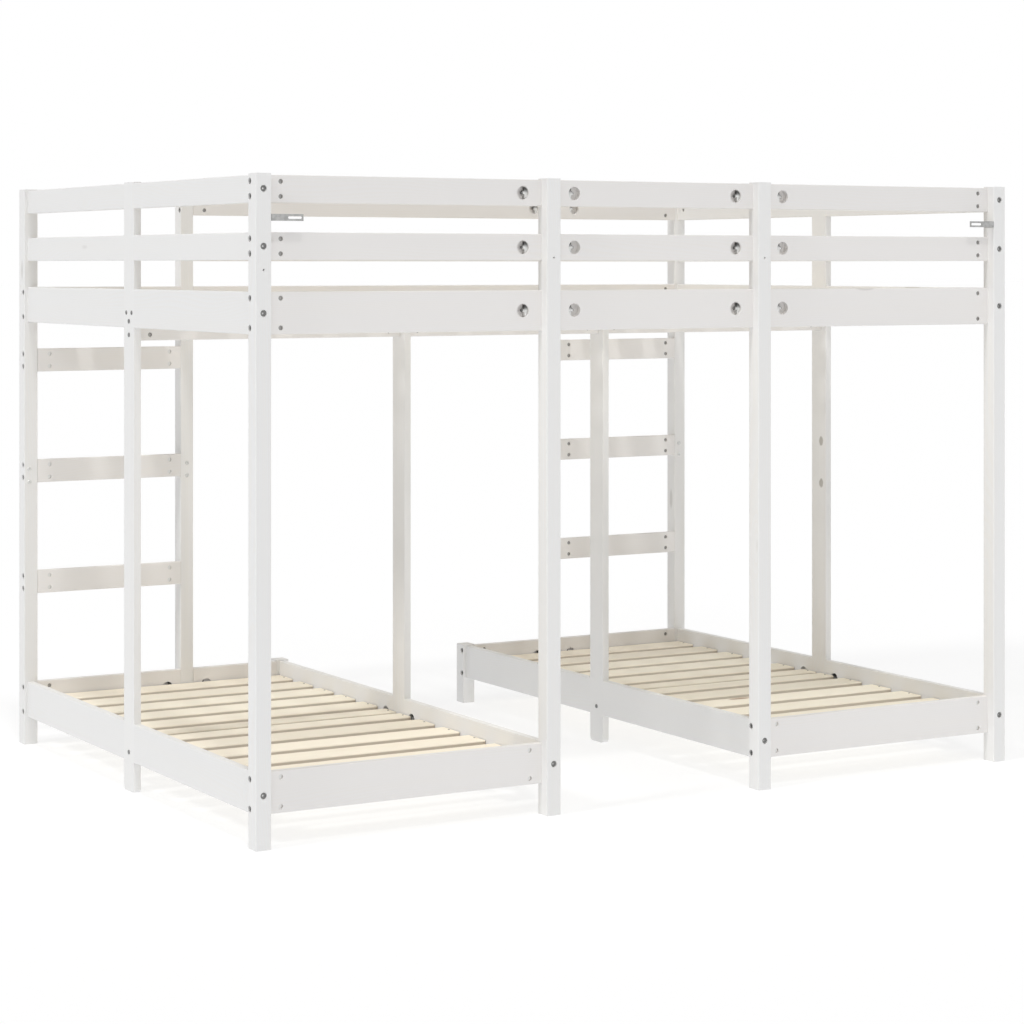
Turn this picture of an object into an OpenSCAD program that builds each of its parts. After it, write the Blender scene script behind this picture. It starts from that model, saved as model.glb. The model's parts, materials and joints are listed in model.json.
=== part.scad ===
// Triple bunk bed: two low single beds side by side under one wide sleeping deck.
// X runs along the wall side, Y from the wall side to the ladder side, Z up.
// The origin is on the floor, under the centre of the frame.

/* [Beds] */
// Mattress width of each low bed
mattress_w = 900; // [700:10:1400]
// Mattress length of each low bed
mattress_l = 1900; // [1500:10:2200]
// Free room between a mattress and the posts on each long side
side_room = 16.5; // [5:0.5:40]
// Free room between a mattress and the posts at each end
end_room = 10; // [5:0.5:40]
// Clear distance between the two low beds
bed_gap = 747; // [700:1:1500]

/* [Heights] */
// Height of the posts
post_h = 1970; // [1750:1:2250]
// Distance of the top rail below the post tops
top_drop = 4; // [0:0.5:30]
// Clear gap between the top and the middle guard rail
guard_gap = 86; // [60:1:100]
// Clear gap between the middle guard rail and the deck rail
deck_gap = 92; // [60:1:100]
// Underside of the low bed rails
low_rail_z = 97; // [60:1:200]
// Slat underside above the underside of the deck rail
deck_slat_rise = 58; // [50:1:70]
// Slat underside above the underside of the low bed rail
low_slat_rise = 56; // [45:1:70]

/* [Ladders] */
// Clear width between the two posts of a ladder
ladder_w = 547.5; // [400:0.5:600]
// Clear gap between the top rung and the deck rail
rung_drop = 94.5; // [60:0.5:200]
// Number of rungs on each ladder
rung_count = 3; // [2:1:4]

/* [Timber] */
// Width of a post along X
post_w = 50; // [46:1:70]
// Depth of a post along Y
post_d = 55; // [50:1:80]
// Thickness of the rails, rungs and middle posts
board_t = 24; // [22:1:28]
// Height of the guard rails, rungs and deck beam
rail_h = 82; // [70:1:95]
// Height of the deck rails and low bed rails
wide_h = 125; // [110:1:140]
// Width of a middle post along Y
mid_post_w = 86; // [60:1:120]
// Rounding of the long edges
edge_r = 3; // [1:0.5:6]
// Rounding of the lower corners of a middle post
foot_r = 15; // [5:1:25]

/* [Slats] */
// Thickness of a slat
slat_t = 18; // [12:1:22]
// Width of a slat
slat_w = 112; // [60:1:130]
// Width of the two slats at the middle of a low bed
centre_slat_w = 82; // [50:1:100]
// Gap between the two slats at the middle of a low bed
centre_gap = 26; // [10:1:40]
// Gap beside the middle slats
next_gap = 58; // [20:1:80]
// Largest gap between two slats
slat_gap = 62; // [30:1:90]
// Gap between the last slat and the end of a low bed
low_end_gap = 7; // [3:0.5:30]
// Gap between the last deck slat and the side rails
deck_end_gap = 23.5; // [15:0.5:50]
// Play at each end of a slat
slat_play = 3; // [1:0.5:8]
// Width of the boards that carry the slats
cleat_w = 24; // [18:1:40]
// Height of the boards that carry the slats
cleat_h = 30; // [20:1:45]
// Thickness of the cap board on the deck beam
cap_t = 18; // [12:1:24]
// Height of the cross rail under the middle of a low bed
cross_h = 54; // [46:1:54]

/* [Fittings] */
// Shank diameter of the bolts, rods and studs
bolt_d = 8; // [6:0.5:10]
// Radial clearance of a shank in its bore
bore_clear = 0.3; // [0.2:0.1:0.8]
// Diameter of a bolt head
head_d = 17; // [14:0.5:20]
// Thickness of a bolt head
head_h = 4; // [3:0.5:6]
// Diameter of the recess round a bolt head
recess_d = 20; // [18:0.5:24]
// Depth of the recess for a bolt head
recess_depth = 8; // [5:0.5:10]
// Width across the flats of the key socket in a bolt head
key_w = 6; // [4:0.5:8]
// Diameter of a barrel nut
nut_d = 14; // [12:0.5:16]
// Distance of a barrel nut from the post
nut_in = 44; // [30:1:60]
// Distance of a bolt from the edge of its board
bolt_edge = 19; // [16:0.5:24]
// Diameter of a round fitting pocket
pocket_d = 42; // [36:1:50]
// Wood left behind a pocket
pocket_web = 5; // [3:0.5:6]
// Distance of a pocket from the post at the guard and deck rails
high_pocket_in = 68; // [50:1:90]
// Distance of a pocket from the post at the low bed rails
low_pocket_in = 52; // [40:1:80]
// Height of the half moon nut in a pocket
moon_h = 34; // [28:1:36]
// Diameter of a wooden dowel
dowel_d = 8; // [6:0.5:10]
// Length of a wooden dowel
dowel_l = 60; // [40:1:70]
// Diameter of the flat heads on the bolts of the deck beam and the cross rails
flat_head_d = 14; // [11:0.5:18]
// Thickness of a flat head
flat_head_h = 2; // [1:0.5:3]

/* [Wall brackets] */
// Reach of a bracket along the wall
bracket_l = 103; // [90:1:140]
// Length of the leg that is screwed to the post
bracket_leg = 48; // [40:1:50]
// Height of a bracket
bracket_h = 20; // [16:1:30]
// Thickness of the bracket steel
bracket_t = 3; // [2:0.5:5]
// Length of the slot for the wall screw
slot_l = 45; // [20:1:60]
// Width of the slot for the wall screw
slot_w = 8; // [5:0.5:10]
// Distance of the slot centre from the post
slot_in = 76; // [60:1:85]
// Diameter of the screws that hold a bracket
bracket_screw_d = 5; // [4:0.5:6]
// Length of the screws that hold a bracket
bracket_screw_l = 25; // [15:1:35]
// Diameter of their heads
bracket_head_d = 9; // [8:0.5:11]
// Distance of a screw from the bend and from the end of the leg
bracket_screw_edge = 11; // [8:0.5:14]

/* [Front pilot holes] */
// Diameter of the pilot holes in the fronts of the left and the inner posts
pilot_d = 6; // [4:0.5:8]
// Depth of a pilot hole
pilot_depth = 20; // [10:1:25]
// Pilot hole of an inner post above the underside of the middle guard rail
pilot_rise = 9; // [5:1:14]
// Pilot hole of the left corner post below the underside of the middle guard rail
pilot_drop = 28; // [20:1:40]

/* [Hidden] */

$fn = 32;

// Overlap of joined shapes, overshoot of cuts, and play between parts that only touch
hair = 0.01;
over = 1;
fit_play = 0.3;

white_wood = [0.90, 0.89, 0.87];
bare_wood = [0.95, 0.87, 0.74];
steel = [0.62, 0.65, 0.66];

// Overall sizes
bed_w = mattress_w + 2 * (side_room + post_w);
bed_l = mattress_l + 2 * (end_room + post_d);
total_w = 2 * bed_w + bed_gap;

// Left faces of the posts, from the left edge of the frame
x_left = 0;
x_inner_left = bed_w - post_w;
x_inner_right = bed_w + bed_gap;
x_right = total_w - post_w;
x_ladder_left = post_w + ladder_w;
x_ladder_right = x_right - ladder_w - post_w;

// Front faces of the posts
y_front = 0;
y_back = bed_l - post_d;

// Boards along X are flush with the posts' inner faces, boards along Y are centred on the posts
y_rail_front = post_d - board_t;
y_rail_back = y_back;
side_in = (post_w - board_t) / 2;
y_mid = bed_l / 2;
y_mid_post = y_mid - mid_post_w / 2;

// A level is the underside of a board and its height. The upper ones hang from the post tops
top_level = [post_h - top_drop - rail_h, rail_h];
mid_level = [top_level[0] - guard_gap - rail_h, rail_h];
deck_level = [mid_level[0] - deck_gap - wide_h, wide_h];
low_level = [low_rail_z, wide_h];
guard_levels = [top_level, mid_level];
high_levels = [top_level, mid_level, deck_level];
all_levels = [top_level, mid_level, deck_level, low_level];

// The rungs have equal gaps from the low bed rail upwards
low_rail_top = low_rail_z + wide_h;
rung_pitch = (deck_level[0] - rung_drop - low_rail_top) / rung_count;
rung_levels = [for (i = [1:rung_count]) [low_rail_top + i * rung_pitch - rail_h, rail_h]];

// Slats and what carries them
deck_slat_z = deck_level[0] + deck_slat_rise;
low_slat_z = low_rail_z + low_slat_rise;
beam_level = [deck_slat_z - cap_t - rail_h, rail_h];
cross_level = [low_slat_z - cross_h, cross_h];
inner_post_h = beam_level[0] + beam_level[1];
leg_h = low_rail_top + top_drop;

// Sizes of the fittings
bore_d = bolt_d + 2 * bore_clear;
nut_sink = 5;
nut_floor = 2;
nut_l = board_t - 2 * nut_sink;
nut_bore_d = nut_d + 2 * bore_clear;
key_floor = 1;
pocket_depth = board_t - pocket_web;
shank_past_nut = 7;
rod_past_moon = 10;
moon_t = 12;
moon_play = 1;
moon_l = 2 * (pocket_depth - moon_play - board_t / 2);
hex_w = 13;
hex_h = 6;
bracket_z = top_level[0] - (guard_gap + bracket_h) / 2;
bracket_screw_places = [bracket_t + bracket_screw_edge, bracket_leg - bracket_screw_edge];
bracket_head_h = 2;

// Joints with two bolts at a board end: post x, post y, direction of the board, level
x_bolts = concat(
    [for (l = all_levels) [x_left, y_front, 1, l]],
    [for (l = all_levels) [x_right, y_front, -1, l]],
    [[x_inner_left, y_front, -1, low_level], [x_inner_right, y_front, 1, low_level]],
    [for (l = concat([deck_level, low_level], rung_levels)) [x_left, y_back, 1, l]],
    [for (l = rung_levels) [x_ladder_left, y_back, -1, l]],
    [for (l = guard_levels) [x_ladder_left, y_back, 1, l]],
    [for (l = rung_levels) [x_ladder_right, y_back, 1, l]],
    [for (l = concat(all_levels, rung_levels)) [x_right, y_back, -1, l]],
    [[x_inner_left, y_back, -1, low_level], [x_inner_right, y_back, 1, low_level]]
);

// Joints with one rod through a post into a pocket on each side: post x, post y, level
x_rods = concat(
    [for (x = [x_inner_left, x_inner_right], l = high_levels) [x, y_front, l]],
    [for (l = [deck_level, low_level]) [x_ladder_left, y_back, l]],
    [for (l = all_levels) [x_ladder_right, y_back, l]]
);

// Joints with one bolt at the end of a side board: post x, post y, direction, level, open side
y_bolts = concat(
    [for (l = all_levels, y = [y_front, y_back]) [x_left, y, l, 1]],
    [for (l = all_levels, y = [y_front, y_back]) [x_right, y, l, -1]],
    [for (y = [y_front, y_back]) [x_inner_left, y, low_level, -1]],
    [for (y = [y_front, y_back]) [x_inner_right, y, low_level, 1]]
);

// Rods through the middle posts at the low beds: post x, open side
y_rods = [[x_left, 1], [x_inner_left, -1], [x_inner_right, 1], [x_right, -1]];

function flip_of(y) = y == y_front ? 1 : -1;
function centre_of(l) = l[0] + l[1] / 2;
function bolt_heights(l) = [l[0] + bolt_edge, l[0] + l[1] - bolt_edge];
function rail_y(y) = y == y_front ? y_rail_front : y_rail_back;
function pocket_in(l) = l == low_level ? low_pocket_in : high_pocket_in;
function side_x(x) = x + side_in;
function across_corners(w) = w / cos(30);

// How far a rod sticks out of the post, up to just past the hexagon nut
function rod_reach(inset) = inset - pocket_d / 2 + bore_clear + moon_t + rod_past_moon;

// Where pieces of width w begin along a length from start to end, with equal gaps up to slat_gap
function slat_places(start, end, w) =
    let (gaps = ceil((end - start - w) / (w + slat_gap)))
    [for (i = [0:gaps]) start + i * (end - start - w) / gaps];

// Everything is drawn from the left front corner and moved so that the origin is in the middle
module placed() {
    translate([-total_w / 2, -bed_l / 2, 0]) children();
}

// Basic shapes

module rounded(w, h, r) {
    translate([r, 0]) square([w - 2 * r, h]);
    translate([0, r]) square([w, h - 2 * r]);
    for (x = [r, w - r], y = [r, h - r]) translate([x, y]) circle(r);
}

// A board along X from x0 to x1 with its lower front edge at y and z
module board_x(x0, x1, y, z, t, h) {
    translate([x0, y, z]) rotate([90, 0, 90]) linear_extrude(x1 - x0) rounded(t, h, edge_r);
}

// A board along Y from y0 to y1 with its lower left edge at x and z
module board_y(x, y0, y1, z, t, h) {
    translate([x, y1, z]) rotate([90, 0, 0]) linear_extrude(y1 - y0) rounded(t, h, edge_r);
}

// A cylinder along X from x0 to x1
module pin_x(x0, x1, y, z, d) {
    translate([x0, y, z]) rotate([0, 90, 0]) cylinder(d = d, h = x1 - x0);
}

// A cylinder along Y from y0 to y1
module pin_y(x, y0, y1, z, d) {
    translate([x, y1, z]) rotate([90, 0, 0]) cylinder(d = d, h = y1 - y0);
}

// Fittings, drawn with the board end at the origin and the board along +X.
// The open side of a pocket or nut bore is at y = 0 and the board is board_t thick.

module bolt_bore_in_post(depth) {
    translate([-depth - hair, board_t / 2, 0]) rotate([0, 90, 0]) {
        cylinder(d = bore_d, h = depth + 2 * hair);
        cylinder(d = recess_d, h = recess_depth + hair);
    }
}

module bolt_bore_in_board() {
    pin_x(-hair, nut_in + shank_past_nut + over, board_t / 2, 0, bore_d);
    pin_y(nut_in, -hair, board_t - nut_floor, 0, nut_bore_d);
}

module bolt_piece(depth) {
    shank_l = depth - recess_depth + nut_in + shank_past_nut;
    translate([recess_depth - depth, board_t / 2, 0]) rotate([0, 90, 0]) difference() {
        union() {
            translate([0, 0, -head_h]) cylinder(d = head_d, h = head_h);
            translate([0, 0, -hair]) cylinder(d = bolt_d, h = shank_l + hair);
        }
        translate([0, 0, -head_h - hair])
            cylinder(d = across_corners(key_w), h = head_h - key_floor, $fn = 6);
    }
}

module nut_piece() {
    difference() {
        pin_y(nut_in, nut_sink, nut_sink + nut_l, 0, nut_d);
        pin_x(nut_in - nut_d, nut_in + nut_d, board_t / 2, 0, bore_d);
    }
}

module pocket(inset) {
    pin_x(-hair, inset, board_t / 2, 0, bore_d);
    pin_y(inset, -hair, pocket_depth, 0, pocket_d);
}

// The half moon nut bears on the round wall of its pocket, and a hexagon nut on its flat side
module moon_piece(inset) {
    wall_x = inset - pocket_d / 2 + bore_clear;
    difference() {
        union() {
            intersection() {
                pin_y(inset, (board_t - moon_l) / 2, (board_t + moon_l) / 2, 0,
                    pocket_d - 2 * bore_clear);
                translate([wall_x - over, 0, -moon_h / 2]) cube([moon_t + over, board_t, moon_h]);
            }
            translate([wall_x + moon_t - hair, board_t / 2, 0]) rotate([0, 90, 0])
                cylinder(d = across_corners(hex_w), h = hex_h + hair, $fn = 6);
        }
        pin_x(0, inset + pocket_d, board_t / 2, 0, bore_d);
    }
}

// Puts a fitting at a board end on the X faces of a post
module at_x_joint(x, y, dir, z) {
    translate([dir > 0 ? x + post_w : x, rail_y(y), z]) scale_x(dir) children();
}

// Puts a fitting at the end of a side board, with its open side towards the bed
module at_y_joint(x, y_end, dir, z, open) {
    translate([side_x(x) + (open > 0 ? board_t : 0), y_end, z])
        rotate([0, 0, 90 * dir]) scale_y(open * dir) children();
}

module scale_x(dir) {
    if (dir > 0) children();
    else mirror([1, 0, 0]) children();
}

module scale_y(dir) {
    if (dir > 0) children();
    else mirror([0, 1, 0]) children();
}

// Posts

module post_cuts(x, y) {
    for (j = x_bolts) if (j[0] == x && j[1] == y) for (z = bolt_heights(j[3]))
        at_x_joint(x, y, j[2], z) bolt_bore_in_post(post_w);
    for (j = x_rods) if (j[0] == x && j[1] == y)
        pin_x(x - over, x + post_w + over, rail_y(y) + board_t / 2, centre_of(j[2]), bore_d);
    for (j = y_bolts) if (j[0] == x && j[1] == y)
        at_y_joint(x, y == y_front ? post_d : y_back, flip_of(y), centre_of(j[2]), j[3])
            bolt_bore_in_post(post_d);
}

module post(x, y, h) {
    color(white_wood) placed() difference() {
        translate([x, y, 0]) linear_extrude(h) rounded(post_w, post_d, edge_r);
        post_cuts(x, y);
        if (y == y_front && (x == x_left || x == x_right)) bracket_pilots(x);
        if (y == y_front && x != x_right) front_pilot(x);
    }
}

module front_pilot(x) {
    z = mid_level[0] + (x == x_left ? -pilot_drop : pilot_rise);
    pin_y(x + post_w / 2, -hair, pilot_depth, z, pilot_d);
}

// A middle post is a flat board that stands in line with the side boards
module mid_post(x, h, carries_guards, joint_x) {
    color(white_wood) placed() difference() {
        translate([side_x(x), y_mid_post, 0]) union() {
            translate([0, 0, foot_r]) cube([board_t, mid_post_w, h - foot_r]);
            translate([0, foot_r, 0]) cube([board_t, mid_post_w - 2 * foot_r, 2 * foot_r]);
            for (y = [foot_r, mid_post_w - foot_r]) translate([0, y, foot_r])
                rotate([0, 90, 0]) cylinder(r = foot_r, h = board_t);
        }
        pin_y(side_x(x) + board_t / 2, y_mid_post - over, y_mid_post + mid_post_w + over,
            centre_of(low_level), bore_d);
        for (z = bolt_heights(beam_level)) pin_x(x, x + post_w, y_mid, z, bore_d);
        pin_x(x, x + post_w, y_mid, centre_of(cross_level), bore_d);
        if (carries_guards) for (l = high_levels) dowel_bores(x, l);
    }
}

module dowel_bores(x, l) {
    for (z = bolt_heights(l), y = [y_mid_post, y_mid_post + mid_post_w])
        pin_y(side_x(x) + board_t / 2, y - dowel_l / 2 - over, y + dowel_l / 2 + over, z,
            dowel_d + 2 * bore_clear);
}

// Boards along X, between the posts on the front or the back

module end_cuts(x, y, dir, l) {
    for (j = x_bolts) if (j[0] == x && j[1] == y && j[2] == dir && j[3] == l)
        for (z = bolt_heights(l)) at_x_joint(x, y, dir, z) bolt_bore_in_board();
    for (j = x_rods) if (j[0] == x && j[1] == y && j[2] == l)
        at_x_joint(x, y, dir, centre_of(l)) pocket(pocket_in(l));
}

module rail_x(x_from, x_to, y, l) {
    color(white_wood) placed() difference() {
        board_x(x_from + post_w, x_to, rail_y(y), l[0], board_t, l[1]);
        end_cuts(x_from, y, 1, l);
        end_cuts(x_to, y, -1, l);
    }
}

module rails_x(x_from, x_to, y, levels) {
    for (l = levels) rail_x(x_from, x_to, y, l);
}

// Boards along Y, between a corner post and the middle post

module side_rail(x, y, l, open) {
    front = y == y_front;
    y0 = front ? post_d : y_mid_post + mid_post_w;
    y1 = front ? y_mid_post : y_back;
    y_end = front ? y0 : y1;
    y_inner = front ? y1 : y0;
    dir = flip_of(y);
    color(white_wood) placed() difference() {
        board_y(side_x(x), y0, y1, l[0], board_t, l[1]);
        at_y_joint(x, y_end, dir, centre_of(l), open) bolt_bore_in_board();
        if (l == low_level) at_y_joint(x, y_inner, -dir, centre_of(l), open) pocket(low_pocket_in);
        else dowel_bores(x, l);
    }
}

module side_rails(x, levels, open) {
    for (l = levels, y = [y_front, y_back]) side_rail(x, y, l, open);
}

// Deck beam, its cap boards, cleats and slats

beam_spans = [
    [side_x(x_left) + board_t, side_x(x_inner_left)],
    [side_x(x_inner_left) + board_t, side_x(x_inner_right)],
    [side_x(x_inner_right) + board_t, side_x(x_right)]
];

// Moves a beam fitting to a middle post's face, with the beam on the side that dir gives
module at_beam_end(x, dir, z) {
    translate([x, y_mid - board_t / 2, z]) scale_x(dir) children();
}

module deck_beams() {
    for (s = beam_spans) color(white_wood) placed() difference() {
        board_x(s[0], s[1], y_mid - board_t / 2, beam_level[0], board_t, rail_h);
        for (z = bolt_heights(beam_level)) {
            at_beam_end(s[0], 1, z) bolt_bore_in_board();
            at_beam_end(s[1], -1, z) bolt_bore_in_board();
        }
    }
}

// The caps meet on top of the inner middle posts, with a little play between their ends
module deck_beam_caps() {
    ends = [beam_spans[0][0], side_x(x_inner_left), side_x(x_inner_right), beam_spans[2][1]];
    for (i = [0:2]) color(white_wood) placed() board_x(
        i == 0 ? ends[i] : ends[i] + (board_t + fit_play) / 2,
        i == 2 ? ends[i + 1] : ends[i + 1] + (board_t - fit_play) / 2,
        y_mid - rail_h / 2, inner_post_h, rail_h, cap_t);
}

module deck_cleats() {
    spans = [[x_left, x_inner_left], [x_inner_left, x_inner_right], [x_inner_right, x_right]];
    for (s = spans, y = [post_d, y_back - cleat_w]) color(white_wood) placed()
        board_x(s[0] + post_w, s[1], y, deck_slat_z - cleat_h, cleat_w, cleat_h);
}

module deck_slats(y0, y1) {
    away = side_in + board_t + deck_end_gap;
    for (x = slat_places(away, total_w - away, slat_w)) color(bare_wood) placed()
        board_y(x, y0 + slat_play, y1 - slat_play, deck_slat_z, slat_w, slat_t);
}

// Low beds, with x as the left edge of the bed's frame

module low_cross_rail(x) {
    x0 = x + side_in + board_t;
    x1 = x + bed_w - side_in - board_t;
    color(white_wood) placed() difference() {
        board_x(x0, x1, y_mid - board_t / 2, cross_level[0], board_t, cross_h);
        at_beam_end(x0, 1, centre_of(cross_level)) bolt_bore_in_board();
        at_beam_end(x1, -1, centre_of(cross_level)) bolt_bore_in_board();
    }
}

module low_cleats(x) {
    for (cx = [x + side_in + board_t, x + bed_w - side_in - board_t - cleat_w])
        for (s = [[post_d, y_mid - board_t / 2], [y_mid + board_t / 2, y_back]])
            color(white_wood) placed()
                board_y(cx, s[0], s[1], low_slat_z - cleat_h, cleat_w, cleat_h);
}

// Two narrow slats at the middle of the bed, then equal gaps out to both ends
module low_slats(x) {
    first = centre_gap / 2 + centre_slat_w + next_gap;
    last = y_mid - post_d - low_end_gap;
    for (side = [-1, 1]) {
        low_slat(x, side, centre_gap / 2, centre_slat_w);
        for (away = slat_places(first, last, slat_w)) low_slat(x, side, away, slat_w);
    }
}

// A slat whose near edge is a given distance from the middle of the bed, on the side -1 or 1
module low_slat(x, side, away, w) {
    color(bare_wood) placed() board_x(
        x + side_in + board_t + slat_play, x + bed_w - side_in - board_t - slat_play,
        side > 0 ? y_mid + away : y_mid - away - w, low_slat_z, w, slat_t);
}

module ladder_rungs(x) {
    rails_x(x, x + post_w + ladder_w, y_back, rung_levels);
}

// Hardware

module rail_bolts() {
    color(steel) placed() {
        for (j = x_bolts, z = bolt_heights(j[3])) at_x_joint(j[0], j[1], j[2], z) bolt_piece(post_w);
        for (j = y_bolts) at_y_joint(j[0], j[1] == y_front ? post_d : y_back, flip_of(j[1]),
            centre_of(j[2]), j[3]) bolt_piece(post_d);
    }
}

module barrel_nuts() {
    color(steel) placed() {
        for (j = x_bolts, z = bolt_heights(j[3])) at_x_joint(j[0], j[1], j[2], z) nut_piece();
        for (j = y_bolts) at_y_joint(j[0], j[1] == y_front ? post_d : y_back, flip_of(j[1]),
            centre_of(j[2]), j[3]) nut_piece();
        for (s = beam_spans, z = bolt_heights(beam_level)) {
            at_beam_end(s[0], 1, z) nut_piece();
            at_beam_end(s[1], -1, z) nut_piece();
        }
        for (x = [x_left, x_inner_right]) {
            at_beam_end(x + side_in + board_t, 1, centre_of(cross_level)) nut_piece();
            at_beam_end(x + bed_w - side_in - board_t, -1, centre_of(cross_level)) nut_piece();
        }
    }
}

module joint_rods() {
    color(steel) placed() {
        for (j = x_rods) {
            reach = rod_reach(pocket_in(j[2]));
            pin_x(j[0] - reach, j[0] + post_w + reach, rail_y(j[1]) + board_t / 2,
                centre_of(j[2]), bolt_d);
        }
        for (j = y_rods) pin_y(side_x(j[0]) + board_t / 2, y_mid_post - rod_reach(low_pocket_in),
            y_mid_post + mid_post_w + rod_reach(low_pocket_in), centre_of(low_level), bolt_d);
    }
}

module half_moon_nuts() {
    color(steel) placed() {
        for (j = x_rods, dir = [-1, 1])
            at_x_joint(j[0], j[1], dir, centre_of(j[2])) moon_piece(pocket_in(j[2]));
        for (j = y_rods, dir = [-1, 1])
            at_y_joint(j[0], dir > 0 ? y_mid_post + mid_post_w : y_mid_post, dir,
                centre_of(low_level), j[1]) moon_piece(low_pocket_in);
    }
}

// Studs join two beams through an inner middle post, bolts hold the outer beam ends
module beam_studs() {
    past = nut_in + shank_past_nut;
    color(steel) placed() {
        for (z = bolt_heights(beam_level)) {
            for (x = [x_inner_left, x_inner_right])
                pin_x(side_x(x) - past, side_x(x) + board_t + past, y_mid, z, bolt_d);
            beam_bolt(beam_spans[0][0], 1, z);
            beam_bolt(beam_spans[2][1], -1, z);
        }
        for (x = [x_left, x_inner_right]) {
            beam_bolt(x + side_in + board_t, 1, centre_of(cross_level));
            beam_bolt(x + bed_w - side_in - board_t, -1, centre_of(cross_level));
        }
    }
}

module beam_bolt(x, dir, z) {
    past = nut_in + shank_past_nut;
    translate([x, y_mid, z]) scale_x(dir) rotate([0, 90, 0]) {
        translate([0, 0, -board_t - flat_head_h]) cylinder(d = flat_head_d, h = flat_head_h);
        translate([0, 0, -board_t - hair]) cylinder(d = bolt_d, h = board_t + past + hair);
    }
}

module wooden_dowels() {
    color(bare_wood) placed() for (x = [x_left, x_right], l = high_levels, z = bolt_heights(l))
        for (y = [y_mid_post, y_mid_post + mid_post_w])
            pin_y(side_x(x) + board_t / 2, y - dowel_l / 2, y + dowel_l / 2, z, dowel_d);
}

// Wall brackets, one on each front corner post, with the slotted leg along the wall

module at_bracket(x) {
    translate([x == x_left ? post_w : x_right, 0, bracket_z]) scale_x(x == x_left ? 1 : -1) children();
}

module wall_bracket(x) {
    color(steel) placed() at_bracket(x) difference() {
        union() {
            cube([bracket_l, bracket_t, bracket_h]);
            cube([bracket_t, bracket_leg, bracket_h]);
        }
        for (sx = [slot_in - (slot_l - slot_w) / 2, slot_in + (slot_l - slot_w) / 2])
            pin_y(sx, -over, bracket_t + over, bracket_h / 2, slot_w);
        translate([slot_in - (slot_l - slot_w) / 2, -over, (bracket_h - slot_w) / 2])
            cube([slot_l - slot_w, bracket_t + 2 * over, slot_w]);
        for (y = bracket_screw_places) pin_x(-over, bracket_t + over, y, bracket_h / 2,
            bracket_screw_d + 2 * bore_clear);
    }
}

module bracket_pilots(x) {
    at_bracket(x) for (y = bracket_screw_places)
        pin_x(-bracket_screw_l - over, hair, y, bracket_h / 2, bracket_screw_d + 2 * bore_clear);
}

module bracket_screws() {
    color(steel) placed() for (x = [x_left, x_right]) at_bracket(x)
        for (y = bracket_screw_places) {
            pin_x(-bracket_screw_l, bracket_t + hair, y, bracket_h / 2, bracket_screw_d);
            pin_x(bracket_t, bracket_t + bracket_head_h, y, bracket_h / 2, bracket_head_d);
        }
}

post(x_left, y_front, post_h);  // post_front_left
post(x_inner_left, y_front, post_h);  // post_front_inner_left
post(x_inner_right, y_front, post_h);  // post_front_inner_right
post(x_right, y_front, post_h);  // post_front_right
post(x_left, y_back, post_h);  // post_back_left
post(x_right, y_back, post_h);  // post_back_right
post(x_ladder_left, y_back, post_h);  // ladder_post_left
post(x_ladder_right, y_back, post_h);  // ladder_post_right
mid_post(x_left, post_h, true);  // post_mid_left
mid_post(x_inner_left, inner_post_h, false);  // post_mid_inner_left
mid_post(x_inner_right, inner_post_h, false);  // post_mid_inner_right
mid_post(x_right, post_h, true);  // post_mid_right
post(x_inner_left, y_back, leg_h);  // leg_back_inner_left
post(x_inner_right, y_back, leg_h);  // leg_back_inner_right

rails_x(x_left, x_inner_left, y_front, guard_levels);  // guard_rails_front_left
rails_x(x_inner_left, x_inner_right, y_front, guard_levels);  // guard_rails_front_middle
rails_x(x_inner_right, x_right, y_front, guard_levels);  // guard_rails_front_right
side_rails(x_left, guard_levels, 1);  // guard_rails_left
side_rails(x_right, guard_levels, -1);  // guard_rails_right
rails_x(x_ladder_left, x_ladder_right, y_back, guard_levels);  // guard_rails_back_middle
rails_x(x_ladder_right, x_right, y_back, guard_levels);  // guard_rails_back_right

rail_x(x_left, x_inner_left, y_front, deck_level);  // deck_rail_front_left
rail_x(x_inner_left, x_inner_right, y_front, deck_level);  // deck_rail_front_middle
rail_x(x_inner_right, x_right, y_front, deck_level);  // deck_rail_front_right
rail_x(x_left, x_ladder_left, y_back, deck_level);  // deck_rail_back_left
rail_x(x_ladder_left, x_ladder_right, y_back, deck_level);  // deck_rail_back_middle
rail_x(x_ladder_right, x_right, y_back, deck_level);  // deck_rail_back_right
side_rails(x_left, [deck_level], 1);  // deck_rails_left
side_rails(x_right, [deck_level], -1);  // deck_rails_right
deck_beams();
deck_beam_caps();
deck_cleats();
deck_slats(post_d, y_mid);  // deck_slats_front
deck_slats(y_mid, y_back);  // deck_slats_back

rail_x(x_left, x_inner_left, y_front, low_level);  // left_bed_front_rail
union() {  // left_bed_back_rails
    rail_x(x_left, x_ladder_left, y_back, low_level);
    rail_x(x_ladder_left, x_inner_left, y_back, low_level);
}
side_rails(x_left, [low_level], 1);  // left_bed_outer_rails
side_rails(x_inner_left, [low_level], -1);  // left_bed_inner_rails
low_cross_rail(x_left);  // left_bed_cross_rail
low_cleats(x_left);  // left_bed_cleats
low_slats(x_left);  // left_bed_slats
rail_x(x_inner_right, x_right, y_front, low_level);  // right_bed_front_rail
union() {  // right_bed_back_rails
    rail_x(x_inner_right, x_ladder_right, y_back, low_level);
    rail_x(x_ladder_right, x_right, y_back, low_level);
}
side_rails(x_inner_right, [low_level], 1);  // right_bed_inner_rails
side_rails(x_right, [low_level], -1);  // right_bed_outer_rails
low_cross_rail(x_inner_right);  // right_bed_cross_rail
low_cleats(x_inner_right);  // right_bed_cleats
low_slats(x_inner_right);  // right_bed_slats

ladder_rungs(x_left);  // ladder_rungs_left
ladder_rungs(x_ladder_right);  // ladder_rungs_right

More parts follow.
